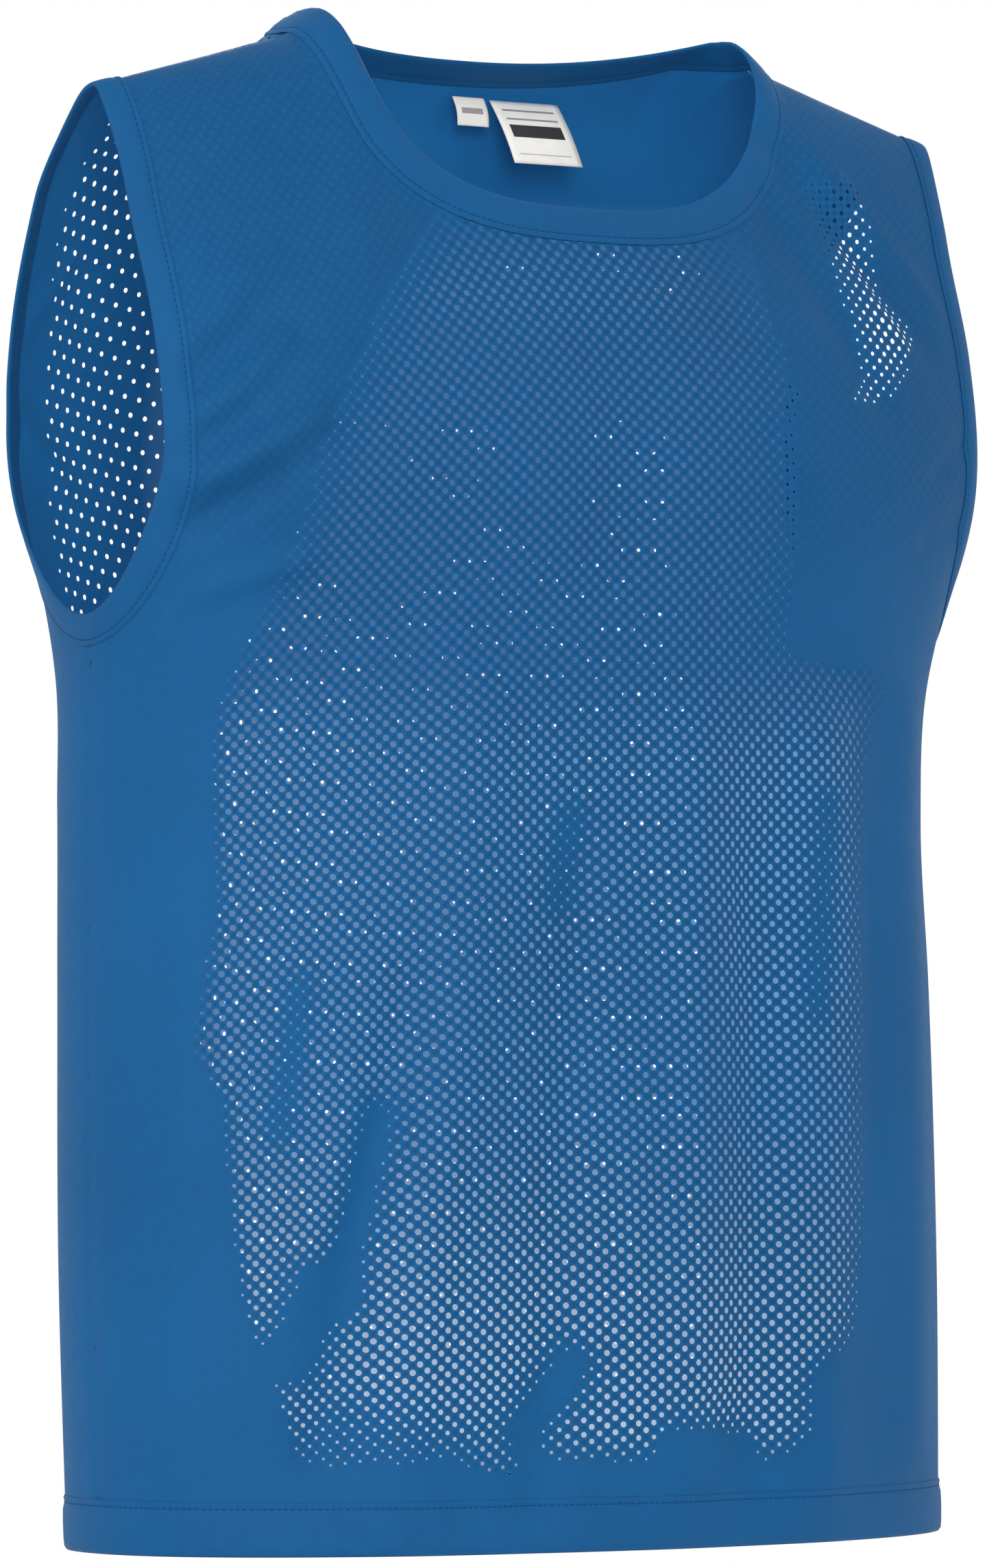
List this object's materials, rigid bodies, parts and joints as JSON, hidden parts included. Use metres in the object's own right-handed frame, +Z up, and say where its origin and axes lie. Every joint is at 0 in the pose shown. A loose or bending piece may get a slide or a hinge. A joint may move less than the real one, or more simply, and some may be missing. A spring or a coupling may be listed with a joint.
{
  "type": "training bib",
  "caption": "Sleeveless blue net bib for team training, round neck, knit bindings and a plain hem, filled out as if worn.",
  "frame": {"origin": "between the wearer's shoulders, at their mid height, where the wearer holds the bib up", "axes": "+Z up along the wearer, -Y out of the wearer's chest, +X towards the wearer's left arm"},
  "size_m": [0.4774, 0.258, 0.7111],
  "materials": {
    "net_knit": "open net knit of bright polyester, slight sheen",
    "binding_knit": "close plain knit, doubled, slight sheen",
    "label_satin": "white satin ribbon"
  },
  "bodies": {
    "root": {"front": "net_knit", "back": "net_knit", "neck_band": "binding_knit", "armhole_band_right": "binding_knit", "armhole_band_left": "binding_knit", "hem_band": "binding_knit", "label_main": "label_satin", "label_size": "label_satin"}
  },
  "joints": []
}
